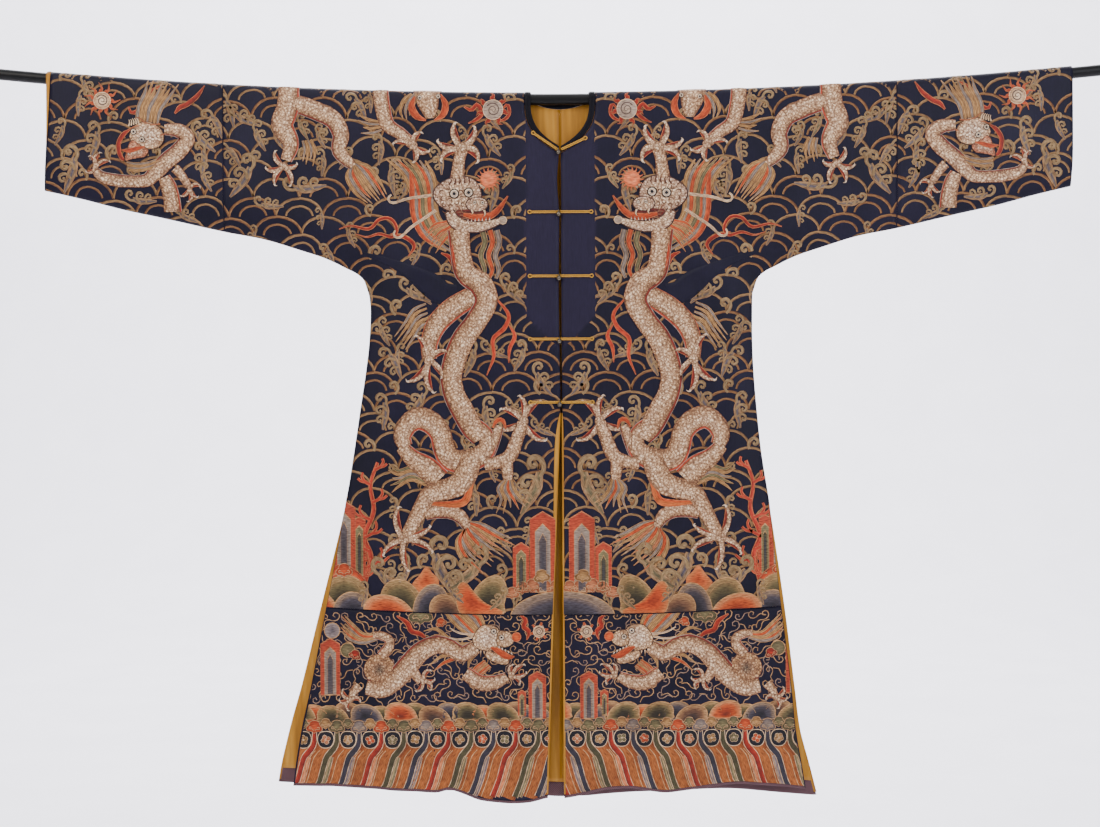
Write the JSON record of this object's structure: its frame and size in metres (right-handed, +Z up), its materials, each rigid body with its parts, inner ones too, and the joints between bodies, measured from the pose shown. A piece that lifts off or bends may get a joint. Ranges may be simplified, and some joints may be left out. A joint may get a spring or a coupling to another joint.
{
  "type": "chinese dragon robe on a hanging rod",
  "caption": "Full-length embroidered silk court robe with a round neck and centre-front frogs, spread flat on a thin rod through its sleeves.",
  "frame": {"origin": "on the rod's axis at the middle of the robe, where the rod is held", "axes": "+X along the rod to the viewer's right (the wearer's left), -Y out of the robe's front, +Z up"},
  "size_m": [2.3, 0.0472, 1.4403],
  "materials": {
    "navy_silk": "embroidered satin",
    "ochre_lining": "plain silk",
    "brown_binding": "matt twill tape",
    "neck_satin": "satin",
    "gold_cord": "twisted cord",
    "bronze_button": "dark, worn",
    "black_rod": "black lacquer, satin"
  },
  "bodies": {
    "root": {"rod": "black_rod", "neck_binding": "neck_satin", "cuff_lining_right": "ochre_lining", "front_right_body": "navy_silk", "front_right_hem_band": "navy_silk", "hem_binding_front_right": "brown_binding", "back_right_body": "navy_silk", "back_right_hem_band": "navy_silk", "hem_binding_back_right": "brown_binding", "sleeve_right": "navy_silk", "lining_back_right": "ochre_lining", "hem_facing_back_right": "brown_binding", "front_left_body": "navy_silk", "front_left_hem_band": "navy_silk", "hem_binding_front_left": "brown_binding", "back_left_body": "navy_silk", "back_left_hem_band": "navy_silk", "hem_binding_back_left": "brown_binding", "sleeve_left": "navy_silk", "lining_back_left": "ochre_lining", "hem_facing_back_left": "brown_binding", "frog_1_knot_side": "gold_cord", "frog_1_loop_side": "gold_cord", "button_1": "bronze_button", "frog_2_knot_side": "gold_cord", "frog_2_loop_side": "gold_cord", "button_2": "bronze_button", "frog_3_knot_side": "gold_cord", "frog_3_loop_side": "gold_cord", "button_3": "bronze_button", "frog_4_knot_side": "gold_cord", "frog_4_loop_side": "gold_cord", "button_4": "bronze_button", "frog_5_knot_side": "gold_cord", "frog_5_loop_side": "gold_cord", "button_5": "bronze_button"}
  },
  "joints": []
}
